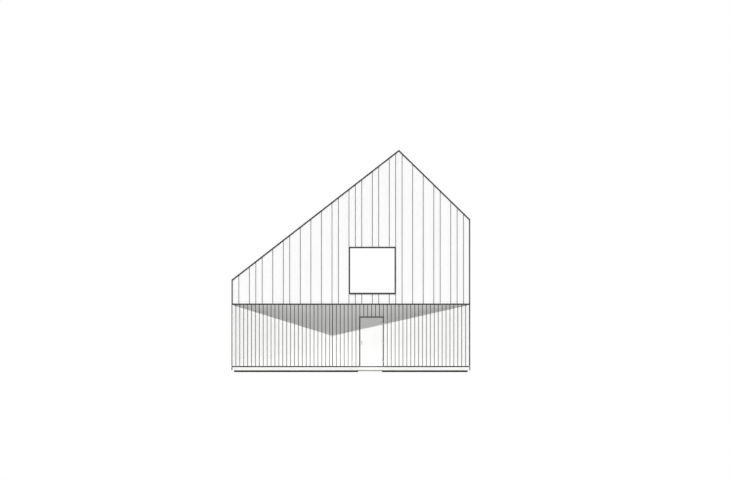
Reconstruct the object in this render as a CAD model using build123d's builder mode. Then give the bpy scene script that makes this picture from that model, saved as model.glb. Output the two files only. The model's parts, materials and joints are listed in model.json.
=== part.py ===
from build123d import *
from itertools import cycle
from math import atan2, cos, degrees, hypot, radians, sin
import os

# A two-storey timber house. The upper storey is a straight block with an asymmetric
# gable, wrapped in standing-seam sheet. It stands on a ground storey of vertical boards
# whose entrance front folds inwards, so that the block above it makes a porch.
# Units are millimetres. X runs to the right along the front, Y to the back, Z up.
# The origin is at ground level under the middle of the house.

# Plan and heights
house_width = 10052.0
house_depth = 11880.0
house_height = 9363.0
foundation_height = 75.0
foundation_setback = 110.0
platform_thickness = 150.0
ground_storey_height = 2608.0
upper_floor_thickness = 260.0
left_side_height = 1057.0
right_side_height = 3596.0
ridge_from_left = 7050.0

# Folded entrance front
fold_from_left = 4250.0
fold_depth = 1310.0
soffit_thickness = 20.0

# Wall and roof layers
cladding_depth = 60.0
wall_core = 240.0
roof_core = 290.0
ridge_beam_width = 140.0
ridge_beam_depth = 360.0

# Vertical boards of the ground storey, spaced out evenly on each side
board_spacing = 170.0

# Standing-seam sheet: an edge strip, then narrow and wide strips in the order of the front
edge_strip = 310.0
narrow_strip = 269.0
wide_strip = 445.0
rhythm_left_of_window = "WNNWWNWWWWNW"
rhythm_over_window = "NNWNWN"
rhythm_right_of_window = "NWWWNWNN"
sheet_setback = 28.0
seam_height = 25.0
seam_width = 16.0
edge_face = 52.0
ridge_cap_wing = 170.0

# Windows
gable_window_size = 1993.0
gable_window_sill = 448.0
wall_window_height = 1188.0
wall_window_sill = 900.0
boards_over_wall_window = 7
boards_behind_side_window = 20
boards_beside_back_window = 21
window_face = 46.0
window_outer_depth = 100.0
sash_step = 12.0
sash_depth = 80.0
lining_face = 28.0
glass_thickness = 28.0
glass_from_front = 124.0
glass_hold = 12.0
seam_stop_gap = 15.0

# Door
door_from_fold = 1153.0
door_frame_width = 1068.0
door_frame_height = 2116.0
door_frame_face = 46.0
door_frame_depth = 150.0
door_sill_height = 25.0
door_stop_width = 15.0
leaf_thickness = 60.0
door_gap = 5.0
latch_gap = 8.0

# Door hinges and knobs
hinge_heights = (260.0, 1050.0, 1840.0)
knuckle_radius = 8.0
knuckle_length = 50.0
knuckle_clearance = 1.0
hinge_split = 0.6
flag_thickness = 3.0
flag_width = 40.0
hinge_pin_radius = 4.0
hinge_pin_length = 30.0
hinge_pin_clearance = 0.5
knob_from_edge = 65.0
knob_height = 1050.0
knob_radius = 26.0
knob_length = 34.0
knob_reach = 64.0
knob_chamfer = 6.0
neck_radius = 11.0
rose_radius = 27.0
rose_thickness = 8.0

# Step
step_from_left = 5297.0
step_width = 1064.0
step_tread = 360.0
step_height = 90.0

# Levels above the ground
platform_bottom = foundation_height
platform_top = platform_bottom + platform_thickness
block_bottom = platform_top + ground_storey_height
base_top = block_bottom + edge_face
floor_bottom = block_bottom + soffit_thickness
floor_top = floor_bottom + upper_floor_thickness

# Edges of the plan
left = -house_width / 2
right = house_width / 2
front = -house_depth / 2
back = house_depth / 2
wall_thickness = cladding_depth + wall_core
roof_thickness = cladding_depth + roof_core
ridge_x = left + ridge_from_left
ridge_rise = house_height - block_bottom
strip_rhythm = rhythm_left_of_window + rhythm_over_window + rhythm_right_of_window


def shifted(points, distances):
    """Move each side of a closed anticlockwise outline inwards and mitre its corners."""
    lines = []
    for (x0, y0), (x1, y1), distance in zip(points, points[1:] + points[:1], distances):
        length = hypot(x1 - x0, y1 - y0)
        ux, uy = (x1 - x0) / length, (y1 - y0) / length
        lines.append((x0 - uy * distance, y0 + ux * distance, ux, uy))
    corners = []
    for (ax, ay, au, av), (bx, by, bu, bv) in zip(lines[-1:] + lines[:-1], lines):
        along = ((bx - ax) * bv - (by - ay) * bu) / (au * bv - av * bu)
        corners.append((ax + along * au, ay + along * av))
    return corners


def side_between(outer, inner, side):
    """The four points between two outlines along one side, with mitred ends."""
    after = (side + 1) % len(outer)
    return [outer[side], outer[after], inner[after], inner[side]]


def seam_places(length):
    """Distances of the seams from one edge of a sheeted face."""
    widths = {"N": narrow_strip, "W": wide_strip}
    places = [edge_strip]
    for strip in cycle(strip_rhythm):
        reached = places[-1] + widths[strip]
        if reached > length - narrow_strip / 2:
            return places
        places.append(reached)


def rectangle(x0, y0, x1, y1):
    """The corners of a rectangle, anticlockwise."""
    return [(x0, y0), (x1, y0), (x1, y1), (x0, y1)]


# Ground storey outlines in plan. Sides: left facet, right facet, right, back, left
fold_x = left + fold_from_left
fold_y = front + fold_depth
plan_face = [(left, front), (fold_x, fold_y), (right, front), (right, back), (left, back)]
plan_core = shifted(plan_face, [cladding_depth] * 5)
plan_room = shifted(plan_face, [wall_thickness] * 5)
LEFT_FACET, RIGHT_FACET, RIGHT_SIDE, BACK_SIDE, LEFT_SIDE = range(5)

# Upper block outlines seen from the front. Sides: bottom, right, right roof, left roof, left
BOTTOM, RIGHT, RIGHT_ROOF, LEFT_ROOF, LEFT = range(5)


def gable_outline(bottom):
    """The outline of the gable above a level."""
    return [
        (left, bottom),
        (right, bottom),
        (right, block_bottom + right_side_height),
        (ridge_x, house_height),
        (left, block_bottom + left_side_height),
    ]


gable_face = gable_outline(base_top)
gable_trimmed = shifted(gable_face, [0] + [edge_face] * 4)
seam_top = shifted(gable_face, [0] + [sheet_setback - seam_height] * 4)
sheet_top = shifted(gable_face, [0] + [sheet_setback] * 4)
sheet_back = shifted(gable_face, [0] + [cladding_depth] * 4)
block_core = shifted(gable_outline(floor_top), [0] + [cladding_depth] * 4)
room_depths = [0, wall_thickness, roof_thickness, roof_thickness, wall_thickness]
block_room = shifted(gable_outline(floor_top), room_depths)


def slope_point(side, distance, inset):
    """A point down a roof slope from the ridge, at a depth below the outer surface."""
    eave = gable_face[LEFT if side == LEFT_ROOF else RIGHT_ROOF]
    ridge = gable_face[LEFT_ROOF]
    length = hypot(eave[0] - ridge[0], eave[1] - ridge[1])
    ux, uz = (eave[0] - ridge[0]) / length, (eave[1] - ridge[1]) / length
    turn = 1 if side == LEFT_ROOF else -1
    x = ridge[0] + ux * distance - uz * inset * turn
    z = ridge[1] + uz * distance + ux * inset * turn
    return (x, z)


# Planes at the faces of the block, all drawn with X across and Z up
front_face = Plane.XZ.offset(-front)
sheet_length = house_depth - 2 * cladding_depth

# Window places: the middle of each window on the outer face, looking outwards
front_seams = seam_places(house_width)
left_seam = front_seams[len(rhythm_left_of_window)]
right_seam = front_seams[len(rhythm_left_of_window + rhythm_over_window)]
gable_window_x = left + (left_seam + right_seam) / 2
gable_window_z = block_bottom + gable_window_sill + gable_window_size / 2
wall_window_z = platform_top + wall_window_sill + wall_window_height / 2
side_board = house_depth / round(house_depth / board_spacing)
back_board = house_width / round(house_width / board_spacing)
side_window_width = boards_over_wall_window * side_board
back_window_width = boards_over_wall_window * back_board
side_window_y = back - boards_behind_side_window * side_board - side_window_width / 2
back_window_x = right - boards_beside_back_window * back_board - back_window_width / 2

front_window_spot = Plane((gable_window_x, front, gable_window_z), (1, 0, 0), (0, -1, 0))
back_gable_window_spot = Plane((gable_window_x, back, gable_window_z), (-1, 0, 0), (0, 1, 0))
back_wall_window_spot = Plane((back_window_x, back, wall_window_z), (-1, 0, 0), (0, 1, 0))
left_window_spot = Plane((left, side_window_y, wall_window_z), (0, -1, 0), (-1, 0, 0))
right_window_spot = Plane((right, side_window_y, wall_window_z), (0, 1, 0), (1, 0, 0))

# The entrance face: X along the right facet from the fold, Y up, Z outwards
facet_angle = degrees(atan2(-fold_depth, right - fold_x))
facet_along = (cos(radians(facet_angle)), sin(radians(facet_angle)), 0)
facet_out = (facet_along[1], -facet_along[0], 0)
entrance = Plane((fold_x, fold_y, platform_top), facet_along, facet_out)


def facet_point(along, depth):
    """The plan position of a point along the right facet and behind its face."""
    x = fold_x + along * facet_along[0] - depth * facet_out[0]
    y = fold_y + along * facet_along[1] - depth * facet_out[1]
    return (x, y)


# Door sizes along and up the entrance face
door_start = door_from_fold
door_end = door_from_fold + door_frame_width
leaf_start = door_start + door_frame_face + latch_gap
leaf_end = door_end - door_frame_face - door_gap
leaf_bottom = door_sill_height + door_gap
leaf_top = door_frame_height - door_frame_face - door_gap
hinge_along = leaf_end + door_gap / 2
hinge_out = knuckle_radius + knuckle_clearance
hinge_x, hinge_y = facet_point(hinge_along, -hinge_out)

os.makedirs("parts", exist_ok=True)

# Foundation, set back so that the platform seems to float
with BuildPart() as foundation:
    with BuildSketch(Plane.XY):
        Rectangle(house_width - 2 * foundation_setback, house_depth - 2 * foundation_setback)
    extrude(amount=foundation_height)
foundation.part.label = "foundation"
export_step(foundation.part, "parts/foundation.step")

# Platform, the ground floor slab and porch floor in one
with BuildPart() as floor_platform:
    with BuildSketch(Plane.XY.offset(platform_bottom)):
        Rectangle(house_width, house_depth)
    extrude(amount=platform_thickness)
floor_platform.part.label = "floor_platform"
export_step(floor_platform.part, "parts/floor_platform.step")

# Entrance step against the platform's front edge
with BuildPart() as entrance_step:
    with BuildSketch(Plane.XY):
        with Locations((left + step_from_left, front - step_tread)):
            Rectangle(step_width, step_tread, align=(Align.MIN, Align.MIN))
    extrude(amount=step_height)
entrance_step.part.label = "entrance_step"
export_step(entrance_step.part, "parts/entrance_step.step")

# Ground storey walls, behind their boards
core_height = floor_bottom - platform_top

with BuildPart() as front_wall_left:
    with BuildSketch(Plane.XY.offset(platform_top)):
        with BuildLine():
            Polyline(*side_between(plan_core, plan_room, LEFT_FACET), close=True)
        make_face()
    extrude(amount=core_height)
front_wall_left.part.label = "front_wall_left"
export_step(front_wall_left.part, "parts/front_wall_left.step")

middle_end = [facet_point(door_start, cladding_depth), facet_point(door_start, wall_thickness)]
with BuildPart() as front_wall_middle:
    with BuildSketch(Plane.XY.offset(platform_top)):
        with BuildLine():
            Polyline(plan_core[RIGHT_FACET], *middle_end, plan_room[RIGHT_FACET], close=True)
        make_face()
    extrude(amount=core_height)
front_wall_middle.part.label = "front_wall_middle"
export_step(front_wall_middle.part, "parts/front_wall_middle.step")

right_start = [facet_point(door_end, wall_thickness), facet_point(door_end, cladding_depth)]
with BuildPart() as front_wall_right:
    with BuildSketch(Plane.XY.offset(platform_top)):
        with BuildLine():
            Polyline(*right_start, plan_core[RIGHT_SIDE], plan_room[RIGHT_SIDE], close=True)
        make_face()
    extrude(amount=core_height)
front_wall_right.part.label = "front_wall_right"
export_step(front_wall_right.part, "parts/front_wall_right.step")

with BuildPart() as front_wall_over_door:
    with BuildSketch(Plane.XY.offset(platform_top + door_frame_height)):
        with BuildLine():
            Polyline(*middle_end, *right_start, close=True)
        make_face()
    extrude(amount=core_height - door_frame_height)
front_wall_over_door.part.label = "front_wall_over_door"
export_step(front_wall_over_door.part, "parts/front_wall_over_door.step")

with BuildPart() as left_wall:
    with BuildSketch(Plane.XY.offset(platform_top)):
        with BuildLine():
            Polyline(*side_between(plan_core, plan_room, LEFT_SIDE), close=True)
        make_face()
    extrude(amount=core_height)
    with BuildSketch(left_window_spot):
        Rectangle(side_window_width, wall_window_height)
    extrude(amount=-wall_thickness, mode=Mode.SUBTRACT)
left_wall.part.label = "left_wall"
export_step(left_wall.part, "parts/left_wall.step")

with BuildPart() as right_wall:
    with BuildSketch(Plane.XY.offset(platform_top)):
        with BuildLine():
            Polyline(*side_between(plan_core, plan_room, RIGHT_SIDE), close=True)
        make_face()
    extrude(amount=core_height)
    with BuildSketch(right_window_spot):
        Rectangle(side_window_width, wall_window_height)
    extrude(amount=-wall_thickness, mode=Mode.SUBTRACT)
right_wall.part.label = "right_wall"
export_step(right_wall.part, "parts/right_wall.step")

with BuildPart() as back_wall:
    with BuildSketch(Plane.XY.offset(platform_top)):
        with BuildLine():
            Polyline(*side_between(plan_core, plan_room, BACK_SIDE), close=True)
        make_face()
    extrude(amount=core_height)
    with BuildSketch(back_wall_window_spot):
        Rectangle(back_window_width, wall_window_height)
    extrude(amount=-wall_thickness, mode=Mode.SUBTRACT)
back_wall.part.label = "back_wall"
export_step(back_wall.part, "parts/back_wall.step")

# Board layers of the ground storey, boards on battens
with BuildPart() as front_boards_left:
    with BuildSketch(Plane.XY.offset(platform_top)):
        with BuildLine():
            Polyline(*side_between(plan_face, plan_core, LEFT_FACET), close=True)
        make_face()
    extrude(amount=ground_storey_height)
front_boards_left.part.label = "front_boards_left"
export_step(front_boards_left.part, "parts/front_boards_left.step")

with BuildPart() as front_boards_right:
    with BuildSketch(Plane.XY.offset(platform_top)):
        with BuildLine():
            Polyline(*side_between(plan_face, plan_core, RIGHT_FACET), close=True)
        make_face()
    extrude(amount=ground_storey_height)
    with BuildSketch(entrance):
        with BuildLine():
            Polyline(*rectangle(door_start, 0, door_end, door_frame_height), close=True)
        make_face()
    extrude(amount=-cladding_depth, mode=Mode.SUBTRACT)
front_boards_right.part.label = "front_boards_right"
export_step(front_boards_right.part, "parts/front_boards_right.step")

with BuildPart() as left_boards:
    with BuildSketch(Plane.XY.offset(platform_top)):
        with BuildLine():
            Polyline(*side_between(plan_face, plan_core, LEFT_SIDE), close=True)
        make_face()
    extrude(amount=ground_storey_height)
    with BuildSketch(left_window_spot):
        Rectangle(side_window_width, wall_window_height)
    extrude(amount=-cladding_depth, mode=Mode.SUBTRACT)
left_boards.part.label = "left_boards"
export_step(left_boards.part, "parts/left_boards.step")

with BuildPart() as right_boards:
    with BuildSketch(Plane.XY.offset(platform_top)):
        with BuildLine():
            Polyline(*side_between(plan_face, plan_core, RIGHT_SIDE), close=True)
        make_face()
    extrude(amount=ground_storey_height)
    with BuildSketch(right_window_spot):
        Rectangle(side_window_width, wall_window_height)
    extrude(amount=-cladding_depth, mode=Mode.SUBTRACT)
right_boards.part.label = "right_boards"
export_step(right_boards.part, "parts/right_boards.step")

with BuildPart() as back_boards:
    with BuildSketch(Plane.XY.offset(platform_top)):
        with BuildLine():
            Polyline(*side_between(plan_face, plan_core, BACK_SIDE), close=True)
        make_face()
    extrude(amount=ground_storey_height)
    with BuildSketch(back_wall_window_spot):
        Rectangle(back_window_width, wall_window_height)
    extrude(amount=-cladding_depth, mode=Mode.SUBTRACT)
back_boards.part.label = "back_boards"
export_step(back_boards.part, "parts/back_boards.step")

# Soffit of the porch, on top of the entrance boards and behind the base flashing
soffit_front = [
    (left + cladding_depth, front + cladding_depth),
    (right - cladding_depth, front + cladding_depth),
]
soffit_back = [plan_core[RIGHT_SIDE], plan_core[RIGHT_FACET], plan_core[LEFT_FACET]]
with BuildPart() as porch_soffit:
    with BuildSketch(Plane.XY.offset(block_bottom)):
        with BuildLine():
            Polyline(*soffit_front, *soffit_back, close=True)
        make_face()
    extrude(amount=soffit_thickness)
porch_soffit.part.label = "porch_soffit"
export_step(porch_soffit.part, "parts/porch_soffit.step")

# Upper floor, which carries the block and reaches out over the porch
with BuildPart() as upper_floor:
    with BuildSketch(Plane.XY.offset(floor_bottom)):
        Rectangle(house_width - 2 * cladding_depth, house_depth - 2 * cladding_depth)
    extrude(amount=upper_floor_thickness)
upper_floor.part.label = "upper_floor"
export_step(upper_floor.part, "parts/upper_floor.step")

# Gable walls, standing between the side walls and under the roof
with BuildPart() as front_gable_wall:
    with BuildSketch(front_face.offset(-cladding_depth)):
        with BuildLine():
            Polyline(*block_room, close=True)
        make_face()
    extrude(amount=-wall_core)
    with BuildSketch(front_window_spot):
        Rectangle(gable_window_size, gable_window_size)
    extrude(amount=-wall_thickness, mode=Mode.SUBTRACT)
front_gable_wall.part.label = "front_gable_wall"
export_step(front_gable_wall.part, "parts/front_gable_wall.step")

with BuildPart() as back_gable_wall:
    mirror(front_gable_wall.part, about=Plane.XZ)
back_gable_wall.part.label = "back_gable_wall"
export_step(back_gable_wall.part, "parts/back_gable_wall.step")

# Side walls of the block and the two roof slopes, mitred where they meet
with BuildPart() as left_upper_wall:
    with BuildSketch(front_face.offset(-cladding_depth)):
        with BuildLine():
            Polyline(*side_between(block_core, block_room, LEFT), close=True)
        make_face()
    extrude(amount=-sheet_length)
left_upper_wall.part.label = "left_upper_wall"
export_step(left_upper_wall.part, "parts/left_upper_wall.step")

with BuildPart() as right_upper_wall:
    with BuildSketch(front_face.offset(-cladding_depth)):
        with BuildLine():
            Polyline(*side_between(block_core, block_room, RIGHT), close=True)
        make_face()
    extrude(amount=-sheet_length)
right_upper_wall.part.label = "right_upper_wall"
export_step(right_upper_wall.part, "parts/right_upper_wall.step")

with BuildPart() as roof_left:
    with BuildSketch(front_face.offset(-cladding_depth)):
        with BuildLine():
            Polyline(*side_between(block_core, block_room, LEFT_ROOF), close=True)
        make_face()
    extrude(amount=-sheet_length)
roof_left.part.label = "roof_left"
export_step(roof_left.part, "parts/roof_left.step")

with BuildPart() as roof_right:
    with BuildSketch(front_face.offset(-cladding_depth)):
        with BuildLine():
            Polyline(*side_between(block_core, block_room, RIGHT_ROOF), close=True)
        make_face()
    extrude(amount=-sheet_length)
roof_right.part.label = "roof_right"
export_step(roof_right.part, "parts/roof_right.step")

# Ridge beam, shaped to both slopes and held between the gable walls
beam_x, beam_top = block_room[LEFT_ROOF]
left_pitch = (ridge_rise - left_side_height) / ridge_from_left
right_pitch = (ridge_rise - right_side_height) / (house_width - ridge_from_left)
half_beam = ridge_beam_width / 2
with BuildPart() as ridge_beam:
    with BuildSketch(front_face.offset(-wall_thickness)):
        with BuildLine():
            Polyline(
                (beam_x - half_beam, beam_top - ridge_beam_depth),
                (beam_x + half_beam, beam_top - ridge_beam_depth),
                (beam_x + half_beam, beam_top - half_beam * right_pitch),
                (beam_x, beam_top),
                (beam_x - half_beam, beam_top - half_beam * left_pitch),
                close=True,
            )
        make_face()
    extrude(amount=-(house_depth - 2 * wall_thickness))
ridge_beam.part.label = "ridge_beam"
export_step(ridge_beam.part, "parts/ridge_beam.step")

# Sheeting of the gables: a flat layer with a raised seam between strips
seam_stop_size = gable_window_size + 2 * seam_stop_gap
with BuildPart() as front_sheeting:
    with BuildSketch(front_face.offset(-sheet_setback)):
        with BuildLine():
            Polyline(*gable_trimmed, close=True)
        make_face()
        with Locations((gable_window_x, gable_window_z)):
            Rectangle(gable_window_size, gable_window_size, mode=Mode.SUBTRACT)
    extrude(amount=sheet_setback - cladding_depth)
    with BuildSketch(front_face.offset(-sheet_setback)):
        with Locations(*[(left + place, base_top) for place in front_seams]):
            Rectangle(seam_width, ridge_rise, align=(Align.CENTER, Align.MIN))
        with BuildLine():
            Polyline(*gable_trimmed, close=True)
        make_face(mode=Mode.INTERSECT)
        with Locations((gable_window_x, gable_window_z)):
            Rectangle(gable_window_size, seam_stop_size, mode=Mode.SUBTRACT)
    extrude(amount=seam_height)
front_sheeting.part.label = "front_sheeting"
export_step(front_sheeting.part, "parts/front_sheeting.step")

with BuildPart() as back_sheeting:
    mirror(front_sheeting.part, about=Plane.XZ)
back_sheeting.part.label = "back_sheeting"
export_step(back_sheeting.part, "parts/back_sheeting.step")

# Sheeting of the sides and slopes. Its seams run from the base up and over to the ridge cap
side_seams = [front_face.offset(-place + seam_width / 2) for place in seam_places(house_depth)]

with BuildPart() as left_sheeting:
    with BuildSketch(front_face.offset(-cladding_depth)):
        with BuildLine():
            Polyline(*side_between(sheet_top, sheet_back, LEFT), close=True)
        make_face()
    extrude(amount=-sheet_length)
    with BuildSketch(*side_seams):
        with BuildLine():
            Polyline(*side_between(seam_top, sheet_top, LEFT), close=True)
        make_face()
    extrude(amount=-seam_width)
left_sheeting.part.label = "left_sheeting"
export_step(left_sheeting.part, "parts/left_sheeting.step")

with BuildPart() as right_sheeting:
    with BuildSketch(front_face.offset(-cladding_depth)):
        with BuildLine():
            Polyline(*side_between(sheet_top, sheet_back, RIGHT), close=True)
        make_face()
    extrude(amount=-sheet_length)
    with BuildSketch(*side_seams):
        with BuildLine():
            Polyline(*side_between(seam_top, sheet_top, RIGHT), close=True)
        make_face()
    extrude(amount=-seam_width)
right_sheeting.part.label = "right_sheeting"
export_step(right_sheeting.part, "parts/right_sheeting.step")

seam_inset = sheet_setback - seam_height
with BuildPart() as roof_sheeting_left:
    with BuildSketch(front_face.offset(-cladding_depth)):
        with BuildLine():
            Polyline(*side_between(sheet_top, sheet_back, LEFT_ROOF), close=True)
        make_face()
    extrude(amount=-sheet_length)
    with BuildSketch(*side_seams):
        with BuildLine():
            Polyline(
                slope_point(LEFT_ROOF, ridge_cap_wing, seam_inset),
                seam_top[LEFT],
                sheet_top[LEFT],
                slope_point(LEFT_ROOF, ridge_cap_wing, sheet_setback),
                close=True,
            )
        make_face()
    extrude(amount=-seam_width)
roof_sheeting_left.part.label = "roof_sheeting_left"
export_step(roof_sheeting_left.part, "parts/roof_sheeting_left.step")

with BuildPart() as roof_sheeting_right:
    with BuildSketch(front_face.offset(-cladding_depth)):
        with BuildLine():
            Polyline(*side_between(sheet_top, sheet_back, RIGHT_ROOF), close=True)
        make_face()
    extrude(amount=-sheet_length)
    with BuildSketch(*side_seams):
        with BuildLine():
            Polyline(
                seam_top[RIGHT_ROOF],
                slope_point(RIGHT_ROOF, ridge_cap_wing, seam_inset),
                slope_point(RIGHT_ROOF, ridge_cap_wing, sheet_setback),
                sheet_top[RIGHT_ROOF],
                close=True,
            )
        make_face()
    extrude(amount=-seam_width)
roof_sheeting_right.part.label = "roof_sheeting_right"
export_step(roof_sheeting_right.part, "parts/roof_sheeting_right.step")

# Ridge cap, a folded cap over both slopes that closes the ends of the seams
with BuildPart() as ridge_cap:
    with BuildSketch(front_face.offset(-cladding_depth)):
        with BuildLine():
            Polyline(
                gable_face[LEFT_ROOF],
                slope_point(LEFT_ROOF, ridge_cap_wing, 0),
                slope_point(LEFT_ROOF, ridge_cap_wing, sheet_setback),
                sheet_top[LEFT_ROOF],
                slope_point(RIGHT_ROOF, ridge_cap_wing, sheet_setback),
                slope_point(RIGHT_ROOF, ridge_cap_wing, 0),
                close=True,
            )
        make_face()
    extrude(amount=-sheet_length)
ridge_cap.part.label = "ridge_cap"
export_step(ridge_cap.part, "parts/ridge_cap.step")

# Base flashing round the foot of the block
with BuildPart() as base_flashing:
    with BuildSketch(Plane.XY.offset(block_bottom)):
        Rectangle(house_width, house_depth)
        inner_width = house_width - 2 * cladding_depth
        inner_depth = house_depth - 2 * cladding_depth
        Rectangle(inner_width, inner_depth, mode=Mode.SUBTRACT)
    extrude(amount=edge_face)
base_flashing.part.label = "base_flashing"
export_step(base_flashing.part, "parts/base_flashing.step")

# Edge trims that frame the gables from foot to ridge
with BuildPart() as front_edge_trim:
    with BuildSketch(front_face):
        with BuildLine():
            Polyline(*gable_face, close=True)
        make_face()
        with BuildLine():
            Polyline(*gable_trimmed, close=True)
        make_face(mode=Mode.SUBTRACT)
    extrude(amount=-cladding_depth)
front_edge_trim.part.label = "front_edge_trim"
export_step(front_edge_trim.part, "parts/front_edge_trim.step")

with BuildPart() as back_edge_trim:
    mirror(front_edge_trim.part, about=Plane.XZ)
back_edge_trim.part.label = "back_edge_trim"
export_step(back_edge_trim.part, "parts/back_edge_trim.step")

# Window boxes: an outer surround, a narrower sash band that holds the glass, and a lining
sash_face = window_face + sash_step
sash_end = window_outer_depth + sash_depth


def window_frame(spot, width, height):
    """A window box through the full wall, open for the glass."""
    with BuildPart() as box:
        with BuildSketch(spot):
            Rectangle(width, height)
        extrude(amount=-wall_thickness)
        with BuildSketch(spot):
            Rectangle(width - 2 * sash_face, height - 2 * sash_face)
        extrude(amount=-wall_thickness, mode=Mode.SUBTRACT)
        with BuildSketch(spot):
            Rectangle(width - 2 * window_face, height - 2 * window_face)
        extrude(amount=-window_outer_depth, mode=Mode.SUBTRACT)
        with BuildSketch(spot.offset(-sash_end)):
            Rectangle(width - 2 * lining_face, height - 2 * lining_face)
        extrude(amount=sash_end - wall_thickness, mode=Mode.SUBTRACT)
        with BuildSketch(spot.offset(-glass_from_front)):
            hold = sash_face - glass_hold
            Rectangle(width - 2 * hold, height - 2 * hold)
        extrude(amount=-glass_thickness, mode=Mode.SUBTRACT)
    return box.part


def window_glass(spot, width, height):
    """The sealed glass unit held in the sash band."""
    with BuildPart() as pane:
        with BuildSketch(spot.offset(-glass_from_front)):
            hold = sash_face - glass_hold
            Rectangle(width - 2 * hold, height - 2 * hold)
        extrude(amount=-glass_thickness)
    return pane.part


with BuildPart() as front_window_frame:
    add(window_frame(front_window_spot, gable_window_size, gable_window_size))
front_window_frame.part.label = "front_window_frame"
export_step(front_window_frame.part, "parts/front_window_frame.step")

with BuildPart() as front_window_glass:
    add(window_glass(front_window_spot, gable_window_size, gable_window_size))
front_window_glass.part.label = "front_window_glass"
export_step(front_window_glass.part, "parts/front_window_glass.step")

with BuildPart() as back_window_frames:
    add(window_frame(back_gable_window_spot, gable_window_size, gable_window_size))
    add(window_frame(back_wall_window_spot, back_window_width, wall_window_height))
back_window_frames.part.label = "back_window_frames"
export_step(back_window_frames.part, "parts/back_window_frames.step")

with BuildPart() as back_window_glass:
    add(window_glass(back_gable_window_spot, gable_window_size, gable_window_size))
    add(window_glass(back_wall_window_spot, back_window_width, wall_window_height))
back_window_glass.part.label = "back_window_glass"
export_step(back_window_glass.part, "parts/back_window_glass.step")

with BuildPart() as side_window_frames:
    add(window_frame(left_window_spot, side_window_width, wall_window_height))
    add(window_frame(right_window_spot, side_window_width, wall_window_height))
side_window_frames.part.label = "side_window_frames"
export_step(side_window_frames.part, "parts/side_window_frames.step")

with BuildPart() as side_window_glass:
    add(window_glass(left_window_spot, side_window_width, wall_window_height))
    add(window_glass(right_window_spot, side_window_width, wall_window_height))
side_window_glass.part.label = "side_window_glass"
export_step(side_window_glass.part, "parts/side_window_glass.step")

# Door frame with its sill, rebated behind the leaf
opening_low = door_sill_height
opening_high = door_frame_height - door_frame_face
opening = rectangle(door_start + door_frame_face, opening_low, door_end - door_frame_face, opening_high)
stop_opening = rectangle(
    door_start + door_frame_face + door_stop_width,
    opening_low,
    door_end - door_frame_face - door_stop_width,
    opening_high - door_stop_width,
)
with BuildPart() as door_frame:
    with BuildSketch(entrance):
        with BuildLine():
            Polyline(*rectangle(door_start, 0, door_end, door_frame_height), close=True)
        make_face()
        with BuildLine():
            Polyline(*opening, close=True)
        make_face(mode=Mode.SUBTRACT)
    extrude(amount=-(leaf_thickness + door_gap))
    with BuildSketch(entrance.offset(-(leaf_thickness + door_gap))):
        with BuildLine():
            Polyline(*rectangle(door_start, 0, door_end, door_frame_height), close=True)
        make_face()
        with BuildLine():
            Polyline(*stop_opening, close=True)
        make_face(mode=Mode.SUBTRACT)
    extrude(amount=leaf_thickness + door_gap - door_frame_depth)
door_frame.part.label = "door_frame"
export_step(door_frame.part, "parts/door_frame.step")

# Door leaf, level with the boards and opening outwards
with BuildPart() as door_leaf:
    with BuildSketch(entrance):
        with BuildLine():
            Polyline(*rectangle(leaf_start, leaf_bottom, leaf_end, leaf_top), close=True)
        make_face()
    extrude(amount=-leaf_thickness)
door_leaf.part.label = "door_leaf"
export_step(door_leaf.part, "parts/door_leaf.step")

# Lift-off hinges: the lower half and its pin on the frame, the upper half on the leaf
# In these sketches X runs along the facet from the hinge axis and Y towards the house
flag_back = hinge_out
flag_front = hinge_out - flag_thickness

with BuildPart() as hinge_plates:
    for height in hinge_heights:
        foot = (hinge_x, hinge_y, platform_top + height - knuckle_length)
        with BuildSketch(Plane(foot, facet_along, (0, 0, 1))):
            Circle(knuckle_radius)
            with BuildLine():
                Polyline(*rectangle(0, flag_front, flag_width, flag_back), close=True)
            make_face()
        extrude(amount=knuckle_length - hinge_split)
        with BuildSketch(Plane(foot, facet_along, (0, 0, 1))):
            Circle(hinge_pin_radius)
        extrude(amount=knuckle_length + hinge_pin_length)
hinge_plates.part.label = "hinge_plates"
export_step(hinge_plates.part, "parts/hinge_plates.step")

with BuildPart() as hinge_flags:
    for height in hinge_heights:
        foot = (hinge_x, hinge_y, platform_top + height)
        with BuildSketch(Plane(foot, facet_along, (0, 0, 1))):
            Circle(knuckle_radius)
            with BuildLine():
                Polyline(*rectangle(-flag_width, flag_front, 0, flag_back), close=True)
            make_face()
        extrude(amount=knuckle_length)
        with BuildSketch(Plane(foot, facet_along, (0, 0, 1))):
            Circle(hinge_pin_radius + hinge_pin_clearance)
        extrude(amount=hinge_pin_length + hinge_pin_clearance, mode=Mode.SUBTRACT)
hinge_flags.part.label = "hinge_flags"
export_step(hinge_flags.part, "parts/hinge_flags.step")

# Knobs on both faces of the leaf, each turned with its rose and neck in one
knob_outline = [
    (0, 0),
    (rose_radius, 0),
    (rose_radius, rose_thickness),
    (neck_radius, rose_thickness),
    (neck_radius, knob_reach - knob_length),
    (knob_radius, knob_reach - knob_length + knob_chamfer),
    (knob_radius, knob_reach - knob_chamfer),
    (knob_radius - knob_chamfer, knob_reach),
    (0, knob_reach),
]
knob_along = leaf_start + knob_from_edge
outer_knob_foot = (*facet_point(knob_along, 0), platform_top + knob_height)
inner_knob_foot = (*facet_point(knob_along, leaf_thickness), platform_top + knob_height)
facet_in = (-facet_out[0], -facet_out[1], 0)

with BuildPart() as door_knobs:
    for foot, outwards in ((outer_knob_foot, facet_out), (inner_knob_foot, facet_in)):
        with BuildSketch(Plane(foot, (0, 0, 1), Vector(0, 0, 1).cross(Vector(*outwards)))):
            with BuildLine():
                Polyline(*knob_outline, close=True)
            make_face()
        revolve(axis=Axis(foot, outwards))
door_knobs.part.label = "door_knobs"
export_step(door_knobs.part, "parts/door_knobs.step")
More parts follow.
